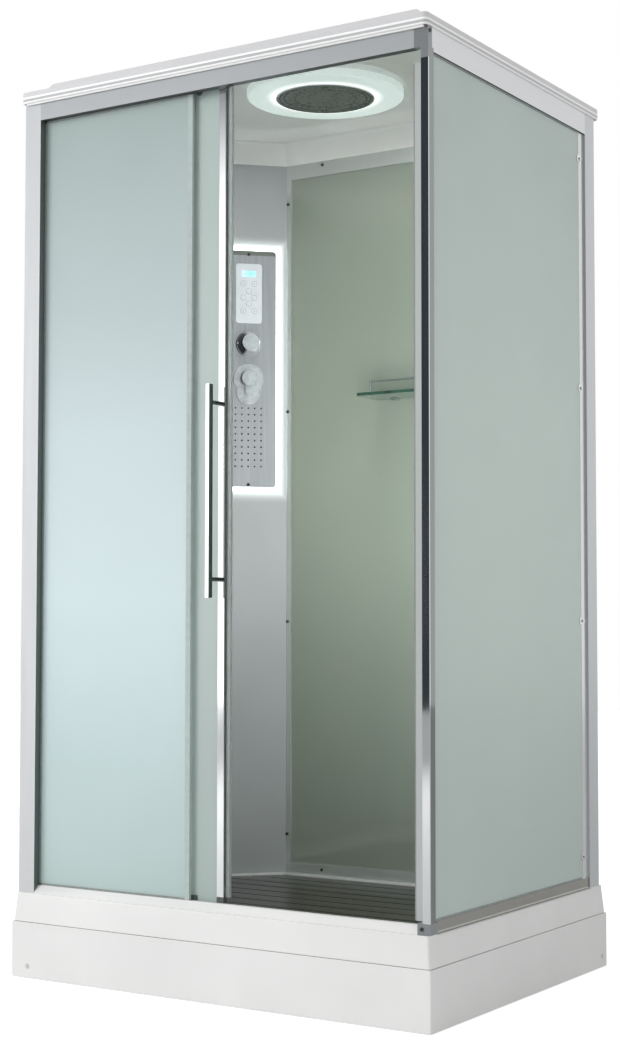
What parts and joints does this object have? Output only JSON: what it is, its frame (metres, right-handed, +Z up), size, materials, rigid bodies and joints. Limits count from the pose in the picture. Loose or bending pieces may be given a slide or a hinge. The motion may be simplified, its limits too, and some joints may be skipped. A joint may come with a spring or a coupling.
{
  "type": "steam shower cabin",
  "caption": "Rectangular steam shower cabin with a sliding front door, corner control column, ceiling head with light ring and a slatted floor.",
  "frame": {"origin": "floor level under the middle of the base", "axes": "+X to the right along the front, +Y to the back wall, +Z up; the door side faces -Y"},
  "size_m": [1.1518, 0.9009, 2.196],
  "materials": {
    "acrylic_white": "glossy moulded acrylic",
    "satin_aluminium": "satin anodised",
    "bright_aluminium": "polished and bright anodised",
    "chrome": "polished",
    "frosted_glass": "acid-etched",
    "wall_glass": "back-painted, glossy",
    "clear_glass": "polished",
    "clear_seal": "translucent vinyl",
    "seal_rubber": "grey seal",
    "silver_paint": "satin silver",
    "brushed_panel": "fine brushed",
    "galvanised_steel": "galvanised",
    "opal_plastic": "opal, lit from behind",
    "fascia_plastic": "smooth",
    "display_plastic": "backlit",
    "key_plastic": "smooth",
    "nozzle_rubber": "soft grey",
    "dark_plastic": "smooth grey",
    "dark_boards": "dark brown composite boards",
    "waste_plastic": "grey pipe plastic",
    "foot_plastic": "black",
    "fitting_plastic": "grey acetal",
    "brass": "cast"
  },
  "bodies": {
    "cabin": {"levelling_feet": "foot_plastic", "tray_support_frame": "galvanised_steel", "shower_tray": "acrylic_white", "front_apron": "acrylic_white", "side_aprons": "acrylic_white", "floor_slats": "dark_boards", "drain_waste": "waste_plastic", "left_front_post": "satin_aluminium", "corner_post": "bright_aluminium", "corner_blocks": "bright_aluminium", "rear_right_post": "satin_aluminium", "front_top_rail": "satin_aluminium", "front_threshold": "acrylic_white", "side_top_rail": "satin_aluminium", "side_bottom_rail": "bright_aluminium", "fixed_front_glass": "frosted_glass", "fixed_glass_trim": "clear_seal", "side_glass": "frosted_glass", "side_glass_clips": "chrome", "strike_profile": "bright_aluminium", "strike_seal": "seal_rubber", "back_wall_glass": "wall_glass", "left_wall_glass": "wall_glass", "wall_strips": "bright_aluminium", "corner_column": "silver_paint", "led_diffuser": "opal_plastic", "control_panel": "brushed_panel", "display_fascia": "fascia_plastic", "lcd_window": "display_plastic", "jet_nozzles": "nozzle_rubber", "escutcheons": "chrome", "valve_block": "brass", "shower_riser": "chrome", "steam_generator": "brushed_panel", "steam_outlet": "chrome", "roof_shell": "acrylic_white", "ceiling_panel": "acrylic_white", "light_ring": "opal_plastic", "shower_head": "chrome", "shower_face": "dark_plastic", "glass_shelf": "clear_glass", "shelf_fittings": "chrome", "assembly_screws": "chrome"},
    "door": {"door_glass": "frosted_glass", "door_edge_profile": "bright_aluminium", "door_seal": "clear_seal", "door_handle": "chrome", "door_fittings": "fitting_plastic"},
    "left_wheel": {"roller_left": "fitting_plastic"},
    "right_wheel": {"roller_right": "fitting_plastic"},
    "mixer_control": {"mixer_knob": "chrome"},
    "diverter_control": {"diverter_knob": "chrome"},
    "key_power_cap": {"key_power": "key_plastic"},
    "key_light_cap": {"key_light": "key_plastic"},
    "key_up_cap": {"key_up": "key_plastic"},
    "key_left_cap": {"key_left": "key_plastic"},
    "key_right_cap": {"key_right": "key_plastic"},
    "key_down_cap": {"key_down": "key_plastic"},
    "key_steam_cap": {"key_steam": "key_plastic"},
    "key_fan_cap": {"key_fan": "key_plastic"}
  },
  "joints": [
    {"name": "door_slide", "type": "slide", "parent": "cabin", "child": "door", "axis": [1, 0, 0], "range_m": [0, 0.4787]},
    {"name": "left_wheel_spin", "type": "hinge", "parent": "door", "child": "left_wheel", "pos_m": [-0.5, -0.3895, 2.1073], "axis": [0, 1, 0], "range_deg": [-10, 2500]},
    {"name": "right_wheel_spin", "type": "hinge", "parent": "door", "child": "right_wheel", "pos_m": [-0.06, -0.3895, 2.1073], "axis": [0, 1, 0], "range_deg": [-10, 2500]},
    {"name": "mixer_turn", "type": "hinge", "parent": "cabin", "child": "mixer_control", "pos_m": [-0.42407, 0.32293, 1.614], "axis": [0.7071, -0.7071, 0], "range_deg": [-180, 0]},
    {"name": "diverter_turn", "type": "hinge", "parent": "cabin", "child": "diverter_control", "pos_m": [-0.42407, 0.32293, 1.518], "axis": [0.7071, -0.7071, 0], "range_deg": [-45, 45]},
    {"name": "key_power_press", "type": "slide", "parent": "cabin", "child": "key_power_cap", "axis": [-0.7071, 0.7071, 0], "range_m": [0, 0.0006], "stiffness_N_per_m": 800, "springref_m": -0.0005},
    {"name": "key_light_press", "type": "slide", "parent": "cabin", "child": "key_light_cap", "axis": [-0.7071, 0.7071, 0], "range_m": [0, 0.0006], "stiffness_N_per_m": 800, "springref_m": -0.0005},
    {"name": "key_up_press", "type": "slide", "parent": "cabin", "child": "key_up_cap", "axis": [-0.7071, 0.7071, 0], "range_m": [0, 0.0006], "stiffness_N_per_m": 800, "springref_m": -0.0005},
    {"name": "key_left_press", "type": "slide", "parent": "cabin", "child": "key_left_cap", "axis": [-0.7071, 0.7071, 0], "range_m": [0, 0.0006], "stiffness_N_per_m": 800, "springref_m": -0.0005},
    {"name": "key_right_press", "type": "slide", "parent": "cabin", "child": "key_right_cap", "axis": [-0.7071, 0.7071, 0], "range_m": [0, 0.0006], "stiffness_N_per_m": 800, "springref_m": -0.0005},
    {"name": "key_down_press", "type": "slide", "parent": "cabin", "child": "key_down_cap", "axis": [-0.7071, 0.7071, 0], "range_m": [0, 0.0006], "stiffness_N_per_m": 800, "springref_m": -0.0005},
    {"name": "key_steam_press", "type": "slide", "parent": "cabin", "child": "key_steam_cap", "axis": [-0.7071, 0.7071, 0], "range_m": [0, 0.0006], "stiffness_N_per_m": 800, "springref_m": -0.0005},
    {"name": "key_fan_press", "type": "slide", "parent": "cabin", "child": "key_fan_cap", "axis": [-0.7071, 0.7071, 0], "range_m": [0, 0.0006], "stiffness_N_per_m": 800, "springref_m": -0.0005}
  ],
  "couplings": [
    {"joint": "left_wheel_spin", "follows": "door_slide", "rad_per_m": 90.909},
    {"joint": "right_wheel_spin", "follows": "door_slide", "rad_per_m": 90.909}
  ]
}
